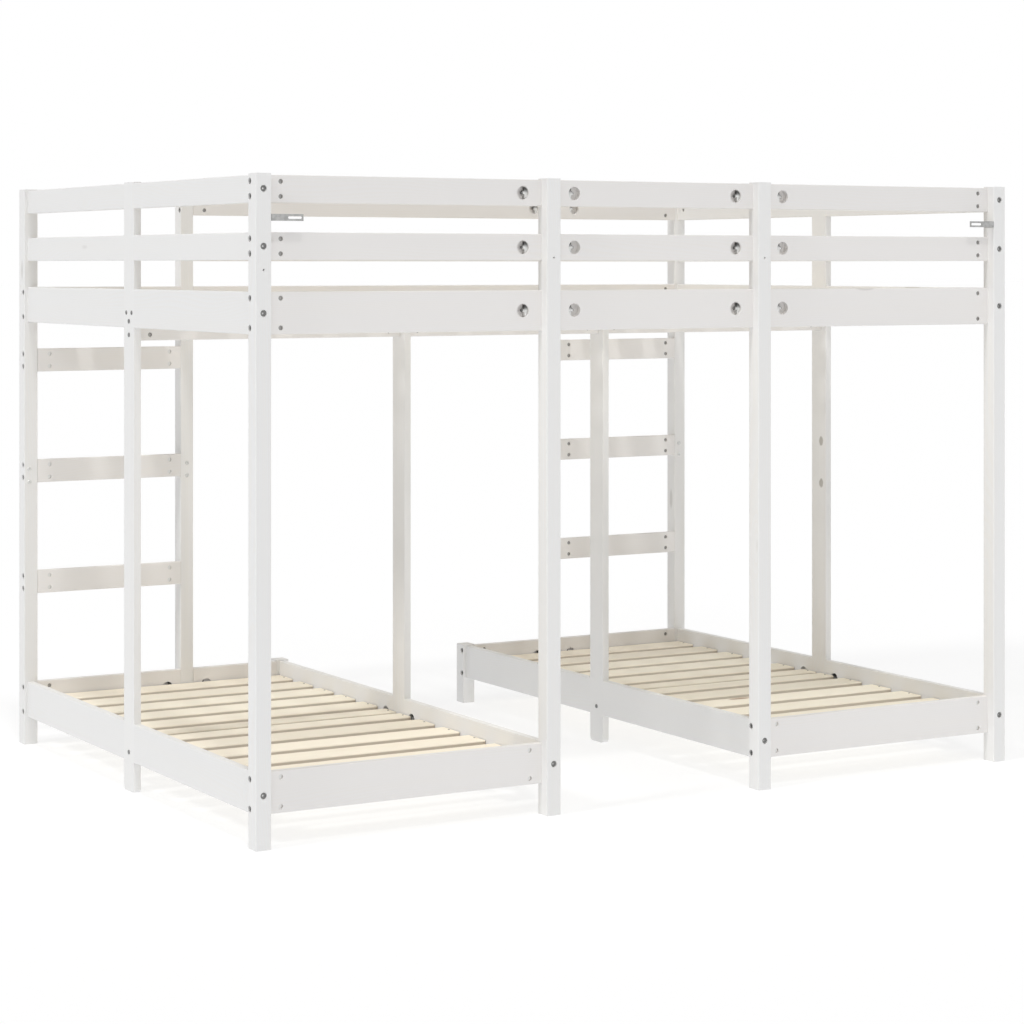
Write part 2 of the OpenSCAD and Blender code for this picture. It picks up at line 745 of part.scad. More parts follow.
rail_bolts();
barrel_nuts();
joint_rods();
half_moon_nuts();
beam_studs();
wooden_dowels();
wall_bracket(x_left);  // wall_bracket_left
wall_bracket(x_right);  // wall_bracket_right
bracket_screws();
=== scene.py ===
"""Looks of the triple bunk bed: whitewashed pine boards, bare pine slats, zinc plated fittings,
the small screws, and a plain pale studio with a camera at the photograph's viewing angle."""

import json
import math

import bmesh
import bpy
from bpy.props import FloatProperty, FloatVectorProperty, IntProperty, PointerProperty
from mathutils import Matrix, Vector


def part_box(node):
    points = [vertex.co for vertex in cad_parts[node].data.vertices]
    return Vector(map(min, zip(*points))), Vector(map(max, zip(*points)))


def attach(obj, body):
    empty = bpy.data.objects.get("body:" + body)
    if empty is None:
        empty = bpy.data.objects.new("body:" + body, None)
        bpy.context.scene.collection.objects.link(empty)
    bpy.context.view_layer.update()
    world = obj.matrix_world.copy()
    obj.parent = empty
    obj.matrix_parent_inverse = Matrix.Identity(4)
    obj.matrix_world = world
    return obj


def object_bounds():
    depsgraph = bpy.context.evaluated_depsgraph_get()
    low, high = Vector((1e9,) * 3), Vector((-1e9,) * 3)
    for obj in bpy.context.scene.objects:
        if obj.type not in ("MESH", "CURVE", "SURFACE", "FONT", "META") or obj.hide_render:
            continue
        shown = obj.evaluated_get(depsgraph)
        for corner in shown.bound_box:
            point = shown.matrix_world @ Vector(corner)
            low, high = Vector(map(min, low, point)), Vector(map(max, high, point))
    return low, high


bl_info = {
    "name": "Triple bunk bed looks",
    "version": (1, 0, 0),
    "blender": (4, 5, 0),
    "location": "View3D > Sidebar > Bunk bed",
    "description": "Dresses the packed triple bunk bed with wood, steel, screws and a studio",
    "category": "Object",
}

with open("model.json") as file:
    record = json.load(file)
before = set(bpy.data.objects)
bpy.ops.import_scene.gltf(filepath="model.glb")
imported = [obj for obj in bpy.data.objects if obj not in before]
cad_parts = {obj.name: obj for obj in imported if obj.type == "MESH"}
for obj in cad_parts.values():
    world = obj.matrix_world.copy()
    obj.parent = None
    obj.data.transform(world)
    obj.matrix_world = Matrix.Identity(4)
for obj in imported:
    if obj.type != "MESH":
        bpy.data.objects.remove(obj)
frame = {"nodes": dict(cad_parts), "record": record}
CAD_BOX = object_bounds()
SLOT_OF = {part["node"]: part["material_slot"] for part in frame["record"]["subparts"]}

MM = 0.001
X, Y, Z = 0, 1, 2
UP = Vector((0, 0, 1))
LEFT, RIGHT = Vector((-1, 0, 0)), Vector((1, 0, 0))
FRONT, BACK = Vector((0, -1, 0)), Vector((0, 1, 0))
WHITE = (1, 1, 1)

# Boards whose grain doesn't run along X, by the start or the end of their node's name
UPRIGHT = ("post_", "ladder_post_", "leg_")
ALONG_Y = ("guard_rails_left", "guard_rails_right", "deck_rails_", "deck_slats_", "wooden_dowels")
BESIDE_BED = ("outer_rails", "inner_rails", "bed_cleats")

# Nodes whose barrel nuts are of a paler lot
PALE_NUTS_IN = ("ladder_rungs_left", "left_bed_front_rail", "right_bed_front_rail")

# Turns that lay a board's grain along the pattern's own X axis
GRAIN_TURNS = {
    "X": (0, 0, 0),
    "Y": (0, 0, -math.pi / 2),
    "Z": (0, math.pi / 2, 0),
}

# How squarely a face has to look along an axis to count as facing that way
SQUARELY = (0.80, 0.95)

# Patterns in the wood: repeats per metre along the grain and across it
KNOT_CELLS = (2.3, 8.0)
RING_BENDS = (0.9, 5.0)
PORES = (9.0, 420.0)
STREAKS = (1.1, 26.0)
TONES = (0.25, 2.6)

# Knots: which cells of the pattern have one, how far round it the rings bend, and its rim
KNOT_CHOICE = (0.70, 0.72)
KNOT_REACH = (0.34, 0.06)
KNOT_RIM = (0.13, 0.075)

# Rings: the slope of their planes, how far noise and knots bend them, in metres, and the shares of
# a ring where its late wood begins and ends
RING_SLOPE = 0.62
NOISE_BEND = 0.16
KNOT_BEND = 0.022
LATE_BEGINS = (0.25, 0.92)
LATE_ENDS = (1.0, 0.95)

# Marks in the wood, the lowest first: the pattern, where it begins and is full (None to take it as
# it is), its strength, its colour and the shade of that
WASHED_MARKS = (
    ("streak", (0.45, 0.75), 0.55, "pine_colour", 0.86),
    ("late", None, 0.75, "pine_ring", 0.85),
    ("pores", (0.62, 0.80), 0.45, "pine_ring", 0.60),
    ("end", None, 0.90, "pine_ring", 0.75),
)
BARE_MARKS = (
    ("late", None, 0.42, "pine_ring", 1.0),
    ("streak", (0.50, 0.80), 0.30, "pine_ring", 0.92),
    ("pores", (0.60, 0.80), 0.35, "pine_ring", 0.70),
    ("end", None, 0.35, "pine_ring", 0.85),
    ("knot_near", None, 0.22, "pine_ring", 0.80),
)

# Surfaces: where the slow change of tone begins and is full, its two shades, the roughness and what
# the pores add to it, the strength of the shine, and the strength of the grain's relief. Below them
# stand the depth of that relief, in metres, and the rings' part in it
WASHED = {"tone": (0.30, 0.70), "shades": (0.985, 1.015), "roughness": 0.42,
          "pore_roughness": 0.22, "shine": 0.35, "relief": 0.22}
BARE = {"tone": (0.35, 0.65), "shades": (0.96, 1.03), "roughness": 0.48,
        "pore_roughness": 0.25, "shine": 0.30, "relief": 0.30}
GRAIN_DEPTH = 0.4 * MM
RING_RELIEF = 0.35

# Colours of the knots, and how strongly they show. Seen knots are the two that the photo shows
WASHED_KNOT, BARE_KNOT = (0.36, 0.33, 0.29), (0.30, 0.15, 0.07)
WASHED_KNOT_SHOWS, SEEN_KNOT_SHOWS, BARE_KNOT_SHOWS = 0.34, 0.75, 0.80

# Painted shade on the sawn edges of the slats, for the shade in the gaps between them: how level a
# face may be, how far below the top it darkens, how uneven that line is, and its colour
EDGE_FACING = (0.7, 0.3)
EDGE_DEPTH = (4 * MM, 9 * MM)
EDGE_UNEVEN = 4 * MM
EDGE_SHADE_COLOUR = (0.20, 0.13, 0.07)

# Plating: repeats per metre of its clouds and turning marks, where the clouds begin and are full,
# their two shades, the roughness of a smooth and a dull one, and what the marks add to roughness
# and relief
CLOUD_SCALE, MARK_SCALE = 90.0, 900.0
CLOUD_SPAN, CLOUD_SHADES = (0.3, 0.7), (0.86, 1.12)
SMOOTH_ZINC, DULL_ZINC = 0.26, 0.5
MARK_ROUGHNESS, MARK_RELIEF, MARK_DEPTH = 0.22, 0.12, 0.2 * MM

# Depth below the bed's outer faces at which the floors of the bolts' key sockets begin and end
SOCKETS_BEGIN = (4.8 * MM, 5.3 * MM)
SOCKETS_END = (9 * MM, 8 * MM)

# Painted shade on the upper part of the half moon nuts, for the shadow of their pockets' upper
# walls: the shares of a nut's height where it begins and is full, and its shade
TOP_SHADE_BEGINS, TOP_SHADE_FULL = 0.45, 0.85
TOP_SHADE_TONE = 0.7


# Settings that a user would change


class WoodSettings(bpy.types.PropertyGroup):
    wash_colour: FloatVectorProperty(
        name="Whitewash", description="Colour of the whitewash on posts and side boards",
        subtype="COLOR", size=3, min=0, max=1, default=(0.82, 0.812, 0.80))
    wash_warm: FloatVectorProperty(
        name="Warm whitewash", description="Colour of the whitewash on boards along the wall",
        subtype="COLOR", size=3, min=0, max=1, default=(0.82, 0.797, 0.777))
    pine_colour: FloatVectorProperty(
        name="Bare pine", description="Colour of the early wood in the bare slats",
        subtype="COLOR", size=3, min=0, max=1, default=(0.99, 0.915, 0.775))
    pine_ring: FloatVectorProperty(
        name="Pine rings", description="Colour of the late wood in the bare slats",
        subtype="COLOR", size=3, min=0, max=1, default=(0.93, 0.82, 0.65))
    # Painted shade on the slats' sawn edges, darker towards their foot
    edge_painted_shade: FloatProperty(
        name="Sawn edges", description="How much darker the sawn edges of a slat are at their foot",
        subtype="FACTOR", min=0, max=1, default=0.6)
    ring_gap: FloatProperty(
        name="Ring distance", description="Distance of the growth rings",
        subtype="DISTANCE", unit="LENGTH", min=0.002, max=0.02, default=0.0065)
    wash_cover: FloatProperty(
        name="Cover", description="How much of the grain the whitewash hides",
        subtype="FACTOR", min=0, max=1, default=0.90)


class FittingSettings(bpy.types.PropertyGroup):
    zinc_colour: FloatVectorProperty(
        name="Dark zinc", description="Colour of the plating on bolts, rods and wood screws",
        subtype="COLOR", size=3, min=0, max=1, default=(0.22, 0.22, 0.217))
    # The bolts' key sockets get this colour as a painted highlight
    socket_highlight_colour: FloatVectorProperty(
        name="Socket highlight", description="Colour of the plating in the bolts' key sockets",
        subtype="COLOR", size=3, min=0, max=1, default=(0.86, 0.86, 0.85))
    nut_colour: FloatVectorProperty(
        name="Bright zinc",
        description="Colour of the plating on the half moon nuts and post screws",
        subtype="COLOR", size=3, min=0, max=1, default=(0.72, 0.72, 0.71))
    barrel_colour: FloatVectorProperty(
        name="Barrel nut zinc", description="Colour of the plating on the barrel nuts",
        subtype="COLOR", size=3, min=0, max=1, default=(0.34, 0.335, 0.325))
    pale_colour: FloatVectorProperty(
        name="Pale zinc", description="Colour of the plating on the paler barrel nuts",
        subtype="COLOR", size=3, min=0, max=1, default=(0.74, 0.735, 0.72))
    bracket_colour: FloatVectorProperty(
        name="Bracket steel", description="Colour of the plating on the wall brackets",
        subtype="COLOR", size=3, min=0, max=1, default=(0.42, 0.42, 0.415))
    slat_screw_d: FloatProperty(
        name="Slat screw", description="Head diameter of the screws in slats and cleats",
        subtype="DISTANCE", unit="LENGTH", min=0.004, max=0.012, default=0.0075)
    slat_screw_h: FloatProperty(
        name="Slat screw height", description="How far these heads stand proud",
        subtype="DISTANCE", unit="LENGTH", min=0.0005, max=0.003, default=0.0012)
    cap_screw_d: FloatProperty(
        name="Cap screw", description="Head diameter of the screws into the ends of the cap boards",
        subtype="DISTANCE", unit="LENGTH", min=0.006, max=0.016, default=0.0145)
    cap_screw_h: FloatProperty(
        name="Cap screw height", description="How far these heads stand proud",
        subtype="DISTANCE", unit="LENGTH", min=0.001, max=0.004, default=0.0025)
    post_head_d: FloatProperty(
        name="Post screw", description="Head diameter of the connecting screws in the posts",
        subtype="DISTANCE", unit="LENGTH", min=0.008, max=0.02, default=0.015)
    post_head_h: FloatProperty(
        name="Post screw height", description="How far these heads stand proud",
        subtype="DISTANCE", unit="LENGTH", min=0.001, max=0.005, default=0.003)
    seed: IntProperty(
        name="Seed", description="Start of the random turns of the screw heads", default=7)


class StudioSettings(bpy.types.PropertyGroup):
    floor_colour: FloatVectorProperty(
        name="Floor", description="Colour of the floor",
        subtype="COLOR", size=3, min=0, max=1, default=(0.35, 0.35, 0.35))
    floor_glow: FloatProperty(
        name="Floor light",
        description="Even light that the floor gives off, as a light table does",
        min=0, max=1, default=0.75)
    glow_colour: FloatVectorProperty(
        name="Floor light colour", description="Colour of the floor's even light",
        subtype="COLOR", size=3, min=0, max=1, default=(0.93, 0.96, 1.0))
    shadow_share: FloatProperty(
        name="Floor shadow", description="How strongly the object's shadow shows on the floor",
        subtype="FACTOR", min=0, max=1, default=0.32)
    open_floor: FloatProperty(
        name="Open floor", description="How brightly a white floor away from the object is lit",
        min=0, max=2, default=0.91)
    horizon_light: FloatProperty(
        name="Light from the sides", description="Strength of the even light near the floor line",
        min=0, max=2, default=1.5)
    zenith_light: FloatProperty(
        name="Light from above", description="Strength of the even light straight overhead",
        min=0, max=2, default=0.4)
    left_share: FloatProperty(
        name="Share from the left",
        description="How much of the even side light is left on the side lamp's side",
        subtype="FACTOR", min=0, max=1, default=0.22)
    front_share: FloatProperty(
        name="Share from the front",
        description="How much of the even side light is left on the front",
        subtype="FACTOR", min=0, max=1, default=0.62)
    side_strength: FloatProperty(
        name="Side lamp", description="Strength of the lamp from the upper left",
        min=0, max=10, default=0.98)
    side_softness: FloatProperty(
        name="Side lamp softness", description="Angle that the lamp from the upper left fills",
        subtype="ANGLE", unit="ROTATION", min=0, max=math.pi, default=math.radians(10))
    front_strength: FloatProperty(
        name="Front lamp", description="Strength of the lamp from above the front",
        min=0, max=10, default=0.68)
    front_softness: FloatProperty(
        name="Front lamp softness", description="Angle that the lamp from above the front fills",
        subtype="ANGLE", unit="ROTATION", min=0, max=math.pi, default=math.radians(5))
    corner_strength: FloatProperty(
        name="Corner lamp", description="Strength of the lamp from the front left",
        min=0, max=10, default=0.26)
    corner_softness: FloatProperty(
        name="Corner lamp softness", description="Angle that the lamp from the front left fills",
        subtype="ANGLE", unit="ROTATION", min=0, max=math.pi, default=math.radians(20))
    camera_place: FloatVectorProperty(
        name="Camera", description="Place of the camera",
        subtype="TRANSLATION", unit="LENGTH", size=3, default=(-4.591, -8.017, 1.703))
    camera_turn: FloatProperty(
        name="Camera turn", description="Turn of the camera from the Y axis towards X",
        subtype="ANGLE", unit="ROTATION", default=math.radians(30))
    focal_length: FloatProperty(
        name="Focal length", description="Focal length on a 36 mm wide sensor",
        min=10, max=300, default=92.8)
    horizon: FloatProperty(
        name="Horizon", description="Height of the eye line above the middle of the picture",
        subtype="FACTOR", min=-0.5, max=0.5, default=0.2415)


class BunkBedSettings(bpy.types.PropertyGroup):
    wood: PointerProperty(type=WoodSettings)
    fittings: PointerProperty(type=FittingSettings)
    studio: PointerProperty(type=StudioSettings)


def settings():
    return bpy.context.scene.bunk_bed


# Helpers for shader and geometry nodes


def add_node(tree, kind, inputs=None, **values):
    """Adds a node. Inputs are named or counted, and each is a number, a colour or a socket."""
    made = tree.nodes.new(kind)
    for name, value in values.items():
        setattr(made, name, value)
    for name, value in (inputs or {}).items():
        if isinstance(value, bpy.types.NodeSocket):
            tree.links.new(value, made.inputs[name])
        else:
            made.inputs[name].default_value = value
    return made


def maths(tree, operation, *terms, clamp=False):
    """One step of arithmetic. Each term is a number or a socket."""
    return add_node(tree, "ShaderNodeMath", dict(enumerate(terms)),
                    operation=operation, use_clamp=clamp).outputs[0]


def ramp(tree, value, low, high):
    """0 at low and below, 1 at high and above, smooth between them."""
    return add_node(tree, "ShaderNodeMapRange", {"Value": value, "From Min": low, "From Max": high},
                    interpolation_type="SMOOTHSTEP").outputs[0]


def parts_of(tree, vector):
    """The X, Y and Z of a vector, as sockets."""
    return add_node(tree, "ShaderNodeSeparateXYZ", {0: vector}).outputs


def coordinates_of(tree):
    """Coordinates and normals as sockets, by the names that Blender gives them."""
    return add_node(tree, "ShaderNodeTexCoord").outputs


def mix_colour(tree, share, a, b):
    """Colour a where share is 0 and colour b where it is 1."""
    made = add_node(tree, "ShaderNodeMix", data_type="RGBA")
    # The node has sockets for every kind of data: 0 is the share, 6 and 7 are the colours
    for socket, value in zip((made.inputs[0], made.inputs[6], made.inputs[7]), (share, a, b)):
        if isinstance(value, bpy.types.NodeSocket):
            tree.links.new(value, socket)
        else:
            socket.default_value = value
    return made.outputs[2]


def rgba(colour, shade=1.0):
    """The colour with full cover, lighter or darker by the shade."""
    return (*[min(1.0, part * shade) for part in colour], 1.0)


def noise(tree, vector, scale, detail=2.0, roughness=0.5):
    """Cloudy noise from 0 to 1, with this many repeats per unit of the vector."""
    return add_node(tree, "ShaderNodeTexNoise", {
        "Vector": vector, "Scale": scale, "Detail": detail, "Roughness": roughness}).outputs["Fac"]


def stretched(tree, vector, along, across):
    """Coordinates scaled by one factor along the grain and another across it."""
    return add_node(tree, "ShaderNodeMapping", {
        "Vector": vector, "Scale": (along, across, across)}).outputs[0]


def new_material(name):
    """An empty material and its node tree."""
    material = bpy.data.materials.new(name)
    material.use_nodes = True
    material.node_tree.nodes.clear()
    return material, material.node_tree


def finish_material(material, tree, inputs):
    """The material with its surface, which has the given inputs."""
    surface = add_node(tree, "ShaderNodeBsdfPrincipled", inputs)
    add_node(tree, "ShaderNodeOutputMaterial", {"Surface": surface.outputs[0]})
    return material


# Wood


def pine_pattern(tree, axis, ring_gap):
    """Rings, pores, streaks, knots and end grain of a board, as a dict of sockets."""
    coordinates = coordinates_of(tree)
    place, facing = (add_node(tree, "ShaderNodeMapping", {
        "Vector": coordinates[kind], "Rotation": GRAIN_TURNS[axis]}).outputs[0]
        for kind in ("Object", "Normal"))

    # Knots sit in a few of the cells of a stretched cell pattern
    cells = add_node(tree, "ShaderNodeTexVoronoi", {
        "Vector": stretched(tree, place, *KNOT_CELLS), "Scale": 1.0, "Randomness": 1.0}).outputs
    lot = add_node(tree, "ShaderNodeSeparateColor", {0: cells["Color"]}).outputs[0]
    chosen = ramp(tree, lot, *KNOT_CHOICE)
    knot_near = maths(tree, "MULTIPLY", chosen, ramp(tree, cells["Distance"], *KNOT_REACH))
    knot = maths(tree, "MULTIPLY", chosen, ramp(tree, cells["Distance"], *KNOT_RIM))

    # Rings lie in sloping planes, bent by slow noise and round the knots
    slow = noise(tree, stretched(tree, place, *RING_BENDS), 1.0, detail=1.0)
    knot_bend = maths(tree, "MULTIPLY", knot_near, KNOT_BEND)
    bend = maths(tree, "MULTIPLY_ADD", slow, NOISE_BEND, knot_bend)
    split = parts_of(tree, place)
    across = maths(tree, "MULTIPLY_ADD", split[Y], RING_SLOPE, split[Z])
    depth = maths(tree, "ADD", across, bend)
    turn = maths(tree, "FRACT", maths(tree, "DIVIDE", depth, ring_gap))
    late = maths(tree, "MULTIPLY", ramp(tree, turn, *LATE_BEGINS), ramp(tree, turn, *LATE_ENDS))

    along = maths(tree, "ABSOLUTE", parts_of(tree, facing)[X])
    return {
        "late": late, "knot": knot, "knot_near": knot_near,
        "pores": noise(tree, stretched(tree, place, *PORES), 1.0, detail=3.0, roughness=0.6),
        "streak": noise(tree, stretched(tree, place, *STREAKS), 1.0, detail=3.0, roughness=0.55),
        "tone": noise(tree, stretched(tree, place, *TONES), 1.0, detail=1.0),
        "end": ramp(tree, along, *SQUARELY),
    }


def toned(tree, pattern, colour, surface):
    """The ground colour of a board, which changes slowly between two shades."""
    dark, light = surface["shades"]
    return mix_colour(tree, ramp(tree, pattern["tone"], *surface["tone"]),
                      rgba(colour, dark), rgba(colour, light))


def marked(tree, pattern, colour, marks, share=1.0):
    """A colour with the marks of the wood laid over it, at a share of their strength."""
    for name, span, strength, setting, shade in marks:
        seen = ramp(tree, pattern[name], *span) if span else pattern[name]
        colour = mix_colour(tree, maths(tree, "MULTIPLY", seen, strength * share), colour,
                            rgba(getattr(settings().wood, setting), shade))
    return colour


def finish_wood(material, tree, pattern, colour, surface):
    """The material with its wooden surface, rougher and raised where the pores are."""
    height = maths(tree, "MULTIPLY_ADD", pattern["late"], RING_RELIEF, pattern["pores"])
    relief = add_node(tree, "ShaderNodeBump", {
        "Height": height, "Strength": surface["relief"], "Distance": GRAIN_DEPTH}).outputs[0]
    roughness = maths(tree, "MULTIPLY_ADD", pattern["pores"], surface["pore_roughness"],
                      surface["roughness"])
    return finish_material(material, tree, {
        "Base Color": colour, "Roughness": roughness, "Specular IOR Level": surface["shine"],
        "Normal": relief})


def whitewash(axis, seen_knots=()):
    """Pine under a thin whitewash. A seen knot is its place and its radius, in metres."""
    wood = settings().wood
    wash = wood.wash_warm if axis == "X" else wood.wash_colour
    name = f"whitewashed_pine_{axis.lower()}"
    material, tree = new_material(name + "_knotty" if seen_knots else name)
    pattern = pine_pattern(tree, axis, wood.ring_gap)
    colour = toned(tree, pattern, wash, WASHED)
    colour = marked(tree, pattern, colour, WASHED_MARKS, 1.0 - wood.wash_cover)
    knot = maths(tree, "MULTIPLY", pattern["knot"], WASHED_KNOT_SHOWS)
    for place, radius in seen_knots:
        seen = maths(tree, "MULTIPLY", oval_knot(tree, place, radius), SEEN_KNOT_SHOWS)
        knot = maths(tree, "MAXIMUM", knot, seen)
    colour = mix_colour(tree, knot, colour, rgba(WASHED_KNOT))
    return finish_wood(material, tree, pattern, colour, WASHED)


def oval_knot(tree, place, radius):
    """1 inside an upright oval knot that runs through a board along X."""
    taller, unevenness, unevenness_scale, rim = 1.35, 0.8, 60.0, (1.5, 0.8)
    coordinates = coordinates_of(tree)["Object"]
    offset = parts_of(tree, add_node(tree, "ShaderNodeMapping", {
        "Vector": coordinates, "Location": -Vector(place)}).outputs[0])
    aside = maths(tree, "POWER", maths(tree, "DIVIDE", offset[Y], radius), 2.0)
    above = maths(tree, "POWER", maths(tree, "DIVIDE", offset[Z], radius * taller), 2.0)
    uneven = maths(tree, "MULTIPLY", noise(tree, coordinates, unevenness_scale), unevenness)
    distance = maths(tree, "ADD", maths(tree, "ADD", aside, above), uneven)
    return ramp(tree, distance, *rim)


def bare_pine(axis, top):
    """Planed pine without a finish, its sawn edges darkened by painted shade below a slat's top."""
    wood = settings().wood
    material, tree = new_material(f"bare_pine_{axis.lower()}")
    pattern = pine_pattern(tree, axis, wood.ring_gap)
    colour = toned(tree, pattern, wood.pine_colour, BARE)
    colour = marked(tree, pattern, colour, BARE_MARKS)
    knot = maths(tree, "MULTIPLY", pattern["knot"], BARE_KNOT_SHOWS)
    colour = mix_colour(tree, knot, colour, rgba(BARE_KNOT))
    # Painted shade on the sawn edges, darkening below the top where the gaps between slats shade
    # them
    coordinates = coordinates_of(tree)
    height = parts_of(tree, coordinates["Object"])[Z]
    upward = parts_of(tree, coordinates["Normal"])[Z]
    edge = ramp(tree, maths(tree, "ABSOLUTE", upward), *EDGE_FACING)
    below_top = maths(tree, "SUBTRACT", top, height)
    depth = maths(tree, "MULTIPLY_ADD", pattern["streak"], EDGE_UNEVEN, below_top)
    shade = maths(tree, "MULTIPLY", ramp(tree, depth, *EDGE_DEPTH), wood.edge_painted_shade)
    colour = mix_colour(tree, maths(tree, "MULTIPLY", edge, shade), colour, rgba(EDGE_SHADE_COLOUR))
    return finish_wood(material, tree, pattern, colour, BARE)


# Steel


def zinc(name, colour, roughness=SMOOTH_ZINC, change=None):
    """Zinc plated steel: cloudy, with fine turning marks.

    A change is a function of the tree, the place and the tint, and returns the new tint.
    """
    material, tree = new_material(name)
    place = coordinates_of(tree)["Object"]
    clouds = ramp(tree, noise(tree, place, CLOUD_SCALE), *CLOUD_SPAN)
    marks = noise(tree, place, MARK_SCALE, roughness=0.7)
    dark, light = CLOUD_SHADES
    tint = mix_colour(tree, clouds, rgba(colour, dark), rgba(colour, light))
    if change:
        tint = change(tree, parts_of(tree, place), tint)
    relief = add_node(tree, "ShaderNodeBump", {
        "Height": marks, "Strength": MARK_RELIEF, "Distance": MARK_DEPTH}).outputs[0]
    return finish_material(material, tree, {
        "Base Color": tint, "Metallic": 1.0, "Normal": relief,
        "Roughness": maths(tree, "MULTIPLY_ADD", marks, MARK_ROUGHNESS, roughness)})


def painted_socket_highlight(tree, place, tint):
    """Paints a highlight on the floors of the bolts' key sockets in the outer faces."""
    facing = parts_of(tree, coordinates_of(tree)["Normal"])
    highlight = 0.0
    for axis in (X, Y):
        depth = maths(tree, "MINIMUM", maths(tree, "SUBTRACT", place[axis], CAD_BOX[0][axis]),
                      maths(tree, "SUBTRACT", CAD_BOX[1][axis], place[axis]))
        socket = maths(tree, "MULTIPLY", ramp(tree, depth, *SOCKETS_BEGIN),
                       ramp(tree, depth, *SOCKETS_END))
        outward = ramp(tree, maths(tree, "ABSOLUTE", facing[axis]), *SQUARELY)
        highlight = maths(tree, "MAXIMUM", highlight, maths(tree, "MULTIPLY", socket, outward))
    return mix_colour(tree, highlight, tint, rgba(settings().fittings.socket_highlight_colour))


def shaded_top(tree, place, tint):
    """Paints shade on the upper part of each half moon nut, where the pocket's wall shades it."""
    top_shade = 0.0
    for low, high in spans("half_moon_nuts", Z):
        size = high - low
        upper = ramp(tree, place[Z], low + TOP_SHADE_BEGINS * size, low + TOP_SHADE_FULL * size)
        inside = ramp(tree, place[Z], high + 2 * MM, high + MM)
        top_shade = maths(tree, "MAXIMUM", top_shade, maths(tree, "MULTIPLY", upper, inside))
    return mix_colour(tree, top_shade, tint, rgba(settings().fittings.zinc_colour, TOP_SHADE_TONE))


def pale_lot(tree, place, tint):
    """Lightens the barrel nuts in the nodes that have the paler lot."""
    pale = 0.0
    for node in PALE_NUTS_IN:
        inside = 1.0
        for axis, low, high in zip((X, Y, Z), *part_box(node)):
            inside = maths(tree, "MULTIPLY", inside, ramp(tree, place[axis], low - MM, low))
            inside = maths(tree, "MULTIPLY", inside, ramp(tree, place[axis], high + MM, high))
        pale = maths(tree, "MAXIMUM", pale, inside)
    return mix_colour(tree, pale, tint, rgba(settings().fittings.pale_colour))


# Where the boards are


def spans(node, axis):
    """Where the node's solids begin and end along an axis, in metres, in rising order."""
    touching = 0.1 * MM
    mesh = frame["nodes"][node].data
    reach = sorted(
        (min(ends), max(ends))
        for ends in ([mesh.vertices[v].co[axis] for v in face.vertices] for face in mesh.polygons))
    found = [list(reach[0])]
    for low, high in reach[1:]:
        if low > found[-1][1] + touching:
            found.append([low, high])
        else:
            found[-1][1] = max(found[-1][1], high)
    return found


def middle(span):
    return (span[0] + span[1]) / 2


def top_of(node):
    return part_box(node)[1].z


def mid_height(node):
    low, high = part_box(node)
    return (low.z + high.z) / 2


# Screw heads


def cross_socket(size, arm):
    """Outline of a cross recess with arms of a given reach and half width."""
    corner = [(size, -arm), (size, arm), (arm, arm)]
    return [turned(point, quarter * math.pi / 2) for quarter in range(4) for point in corner]


def hexagon_socket(size):
    """Outline of a six-sided recess with corners at a given reach."""
    return [turned((size, 0), sixth * math.pi / 3) for sixth in range(6)]


def turned(point, angle):
    """The point after a turn about the origin."""
    cosine, sine = math.cos(angle), math.sin(angle)
    return (point[0] * cosine - point[1] * sine, point[0] * sine + point[1] * cosine)


def round_head(name, profile, socket, socket_floor, corners=14):
    """A screw head of radius 1 and height 1, with a socket.

    The profile is a list of radius and height, from the foot of the head to its rim.
    """
    mesh = bpy.data.meshes.new(name)
    bm = bmesh.new()

    def loop_at(points, height):
        verts = [bm.verts.new((x, y, height)) for x, y in points]
        edges = [bm.edges.new((verts[i - 1], verts[i])) for i in range(len(verts))]
        return verts, edges

    def walls(lower, upper):
        for i in range(len(lower)):
            bm.faces.new((lower[i - 1], lower[i], upper[i], upper[i - 1]))

    angles = [2 * math.pi * i / corners for i in range(corners)]
    rings = [loop_at([turned((radius, 0), angle) for angle in angles], height)
             for radius, height in profile]
    for lower, upper in zip(rings, rings[1:]):
        walls(lower[0], upper[0])
    bm.faces.new(reversed(rings[0][0]))
    rim = loop_at(socket, profile[-1][1])
    bottom = loop_at(socket, socket_floor)
    bmesh.ops.triangle_fill(bm, use_beauty=True, use_dissolve=False,
                            edges=rings[-1][1] + rim[1], normal=UP)
    walls(bottom[0], rim[0])
    bm.faces.new(bottom[0])
    bmesh.ops.recalc_face_normals(bm, faces=bm.faces)
    bm.to_mesh(mesh)
    bm.free()
    return bpy.data.objects.new(name, mesh)


def points_object(name, places):
    """Bare points, each with the direction that its screw head faces."""
    mesh = bpy.data.meshes.new(name)
    mesh.from_pydata([place for place, _ in places], [], [])
    facing = mesh.attributes.new("facing", "FLOAT_VECTOR", "POINT")
    for item, (_, direction) in zip(facing.data, places):
        item.vector = direction
    piece = bpy.data.objects.new(name, mesh)
    bpy.context.scene.collection.objects.link(piece)
    return piece


